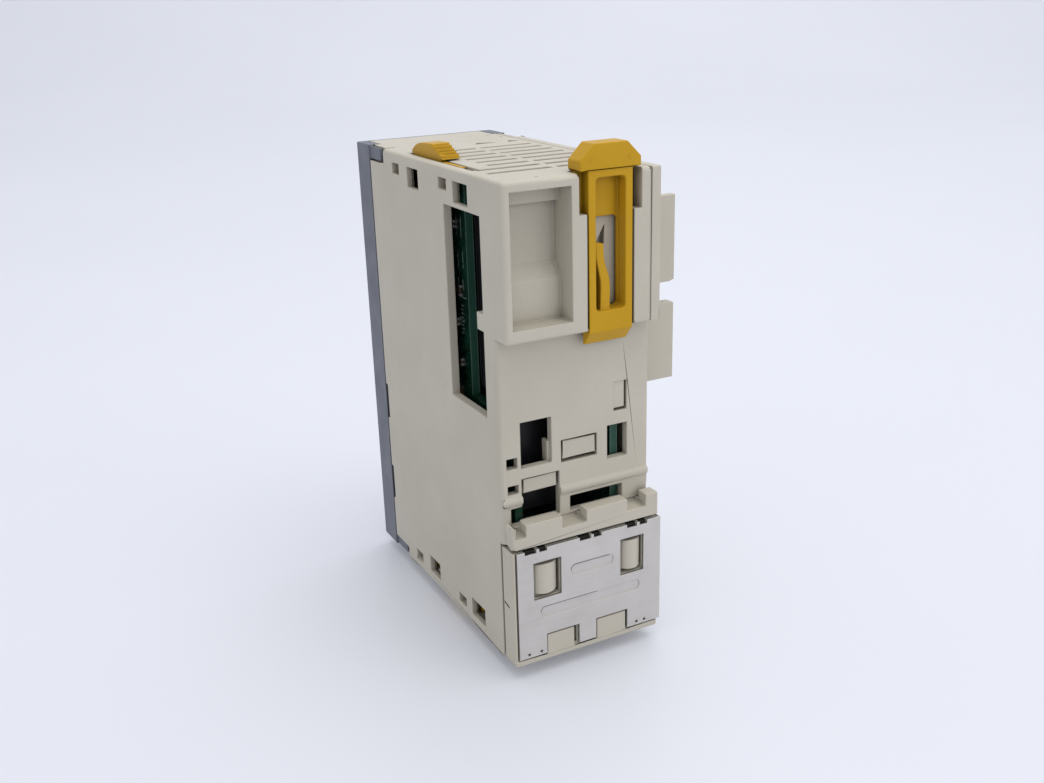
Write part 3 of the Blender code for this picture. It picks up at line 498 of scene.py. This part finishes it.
def build_moulding_marks():
    latch_marks = bmesh.new()
    for x in (-9.1, -1.5):
        disc_on(latch_marks, (x, 66.68, 92.1), (0, 1, 0), 0.45, 0.08)
    show("latch_ejector_marks", latch_marks, LOOKS["yellow_pom"], "rail_latch")

    crescent = bmesh.new()
    crescent_on_side(crescent, 40.6, 45.9, 2.5, 0.5)
    show("side_ejector_mark", crescent, LOOKS["beige_abs"], "case")

    # Painted shadow: a thin near-black strip on the side wall stands for the shade inside a slanted slot.
    slot_shadow = bmesh.new()
    marks = box(slot_shadow, (15.45, -1.0, -0.17), (15.52, 1.0, 0.17))
    turn = Matrix.Translation(at(0, 63.6, 12.2)) @ Matrix.Rotation(math.radians(-14), 4, "X")
    bmesh.ops.transform(slot_shadow, verts=marks, matrix=turn @ Matrix.Translation(-at(0, 0, 0)))
    show("side_slot_shadow", slot_shadow, SHADOW_LINE, "case")

    dimples = bmesh.new()
    for x, y in ((-10.4, 9.6), (-11.7, 13.2), (7.8, 64.6)):
        disc_on(dimples, (x, y, 89.99), (0, 0, 1), 0.3, 0.05, 14)
    show("top_gate_marks", dimples, DIMPLE, "case")


PLATE_FACE_Y, EDGE_SHADOW_FACE_Y = 66.8, 66.87


def crease(shape, x_right, x_left, z_top, radius, line=0.13, steps=6):
    """A painted shadow along the upper edge of a pressed groove: a thin dark line that turns down round its
    left end.
    """
    path = [(x_right, z_top, math.radians(90))]
    for step in range(steps + 1):
        angle = math.radians(90 - 100 * step / steps)
        x, z = x_left + radius * (math.cos(angle) - 1), z_top + radius * (math.sin(angle) - 1)
        path.append((x, z, angle))
    rows = []
    for x, z, angle in path:
        reach = (line * math.cos(angle), line * math.sin(angle))
        corners = ((0.0, PLATE_FACE_Y), (0.0, EDGE_SHADOW_FACE_Y), (-1.0, EDGE_SHADOW_FACE_Y), (-1.0, PLATE_FACE_Y))
        rows.append([shape.verts.new(at(x + k * reach[0], y, z + k * reach[1])) for k, y in corners])
    for row, follow in zip(rows, rows[1:]):
        for index in range(4):
            shape.faces.new((row[index], row[index - 1], follow[index - 1], follow[index]))
    shape.faces.new(rows[0])
    shape.faces.new(rows[-1][::-1])
    bmesh.ops.recalc_face_normals(shape, faces=shape.faces)


def build_plate_details():
    """Painted shadows: dark lines along the upper edges of the pressed grooves, and dark boxes in the
    notches along the plate's top edge.
    """
    edge_shadow_lines = bmesh.new()
    crease(edge_shadow_lines, -4.6, 3.7, 18.6, 1.0)
    crease(edge_shadow_lines, -2.0, 10.2, 11.6, 1.0, 0.09)
    show("plate_groove_edge_shadows", edge_shadow_lines, GROOVE_EDGE_SHADOW, "case")
    # Painted shadow: near-black boxes in the notches along the plate's top edge stand for the shade inside
    # them.
    notch_shadows = bmesh.new()
    for x0, x1 in ((10.8, 13.2), (8.6, 10.2), (-0.7, 1.7), (-3.0, -1.3), (-10.8, -8.6), (-13.1, -11.4)):
        box(notch_shadows, (x0 + 0.05, 65.2, 22.45), (x1 - 0.05, 66.15, 23.45))
    show("plate_notch_shadows", notch_shadows, SHADOW_LINE, "case")


def build_seam_lip():
    """The lip that closes the joint between the case halves, just under the surface."""
    lip = bmesh.new()
    box(lip, (-13.5, 62.9, 62.9), (-13.3, 66.5, 89.7))
    box(lip, (-13.5, 8.2, 89.3), (-13.3, 62.6, 89.8))
    box(lip, (-13.5, 8.2, 0.2), (-13.3, 60.5, 0.7))
    show("case_joint_lip", lip, LOOKS["beige_abs"], "case")


build_moulding_marks()
build_plate_details()
build_seam_lip()


# -------------------------------------------------------------------------------------------------
# Dial scales on the bezel
# -------------------------------------------------------------------------------------------------


DIAL_X, DIAL_Z, DIGIT_REACH = 6.6, 60.5, 6.0


def build_dial_scales():
    """Ten ticks and the digits 0 to 9 round each number dial."""
    for side, x in (("left", -DIAL_X), ("right", DIAL_X)):
        ticks = bmesh.new()
        for digit in range(10):
            angle = math.radians(90 - 36 * digit)
            mark = box(ticks, (-0.1, -0.02, 4.85), (0.1, 0.03, 5.25))
            turn = Matrix.Rotation(math.radians(36 * digit), 4, "Y")
            place = Matrix.Translation(at(x, 0, DIAL_Z)) @ turn @ Matrix.Translation(-at(0, 0, 0))
            bmesh.ops.transform(ticks, verts=mark, matrix=place)
            text = bpy.data.curves.new(f"digit_{side}_{digit}", "FONT")
            text.body = str(digit)
            text.size = 1.5 * MM
            text.extrude = 0.02 * MM
            text.align_x = text.align_y = "CENTER"
            label = bpy.data.objects.new(f"dial_digit_{side}_{digit}", text)
            label.location = at(
                x + DIGIT_REACH * math.cos(angle), -0.005, DIAL_Z + DIGIT_REACH * math.sin(angle)
            )
            label.rotation_euler = (math.radians(90), 0, 0)
            bpy.context.scene.collection.objects.link(label)
            text.materials.append(DIAL_INK)
            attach(label, "case")
        show(f"dial_ticks_{side}", ticks, DIAL_INK, "case", False)


build_dial_scales()


# -------------------------------------------------------------------------------------------------
# Stage, light and camera
# -------------------------------------------------------------------------------------------------

FLOOR_NEAR, FLOOR_FAR, SWEEP_RADIUS, SWEEP_TOP, FLOOR_HALF = -1.2, 0.9, 0.8, 2.2, 2.6
FLOOR_DARK, FLOOR_LIGHT, FLOOR_GLOW = (0.575, 0.590, 0.638), (0.600, 0.615, 0.663), 0.13
LENS_MM = 39.22
CAMERA_PLACE = Vector((0.10112, 0.19584, 0.12188))
CAMERA_RIGHT = Vector((-0.8839, 0.46685, -0.02784))
CAMERA_FORWARD = Vector((-0.43188, -0.83764, -0.33442))
AWAY = Vector((CAMERA_FORWARD.x, CAMERA_FORWARD.y, 0)).normalized()


def build_stage():
    """A pale floor that sweeps up behind the object, facing the camera."""
    profile = [(FLOOR_NEAR, 0.0), (0.0, 0.0), (FLOOR_FAR * 0.5, 0.0)]
    for step in range(13):
        angle = math.radians(90 * step / 12)
        profile.append((FLOOR_FAR + SWEEP_RADIUS * math.sin(angle), SWEEP_RADIUS * (1 - math.cos(angle))))
    profile.append((FLOOR_FAR + SWEEP_RADIUS, SWEEP_TOP))
    across = Vector((-AWAY.y, AWAY.x, 0)) * FLOOR_HALF
    shape = bmesh.new()
    rows = []
    for u, z in profile:
        middle = AWAY * u + Vector((0, 0, z))
        rows.append([shape.verts.new(middle + across * side) for side in (1, -1)])
    for near, far in zip(rows, rows[1:]):
        shape.faces.new((near[0], near[1], far[1], far[0]))
    bmesh.ops.recalc_face_normals(shape, faces=shape.faces)
    mesh = bpy.data.meshes.new("floor")
    shape.to_mesh(mesh)
    shape.free()
    mesh.shade_smooth()
    glow = {"Emission_Color": (0.80, 0.83, 0.92, 1.0), "Emission_Strength": FLOOR_GLOW}
    paint = Paint("pale_floor", 0.42, Specular_IOR_Level=0.5, **glow)
    paint.colour(paint.ramp(paint.noise(3.0, 3.0), (0.3, FLOOR_DARK), (0.7, FLOOR_LIGHT)))
    paint.bump((paint.noise(900.0, 2.0), 0.03, 0.0001))
    mesh.materials.append(paint.material)
    floor = bpy.data.objects.new("floor", mesh)
    bpy.context.scene.collection.objects.link(floor)


def area_light(name, place, target, size, power, colour):
    data = bpy.data.lights.new(name, "AREA")
    data.shape = "DISK"
    data.size = size
    data.energy = power
    data.color = colour
    light = bpy.data.objects.new(name, data)
    light.location = place
    light.rotation_euler = (Vector(target) - Vector(place)).to_track_quat("-Z", "Y").to_euler()
    bpy.context.scene.collection.objects.link(light)


def build_light():
    world = bpy.data.worlds.new("studio")
    bpy.context.scene.world = world
    world.use_nodes = True
    background = world.node_tree.nodes["Background"]
    background.inputs["Color"].default_value = (0.96, 0.97, 1.0, 1.0)
    background.inputs["Strength"].default_value = 0.80
    centre = (0.0, 0.0, 0.04)
    area_light("overhead", (-0.08, 0.16, 0.95), centre, 0.9, 3.6, (1.0, 0.985, 0.97))
    area_light("rear_fill", (-0.35, 0.75, 0.45), centre, 0.8, 1.2, (1.0, 0.99, 0.97))
    backdrop = AWAY * 0.8 + CAMERA_RIGHT * 0.25 + Vector((0, 0, 1.5))
    area_light("backdrop_light", backdrop, AWAY * 1.6 + Vector((0, 0, 0.3)), 1.2, 7.0, (1.0, 0.995, 0.99))


def build_camera():
    data = bpy.data.cameras.new("camera")
    data.lens = LENS_MM
    data.sensor_width = 36.0
    data.clip_start = 0.01
    camera = bpy.data.objects.new("camera", data)
    back = -CAMERA_FORWARD.normalized()
    right = (CAMERA_RIGHT - CAMERA_RIGHT.project(back)).normalized()
    up = back.cross(right)
    camera.matrix_world = Matrix.Translation(CAMERA_PLACE) @ Matrix((right, up, back)).transposed().to_4x4()
    bpy.context.scene.collection.objects.link(camera)
    bpy.context.scene.camera = camera


build_stage()
build_light()
build_camera()
bpy.context.scene.view_settings.view_transform = "Standard"
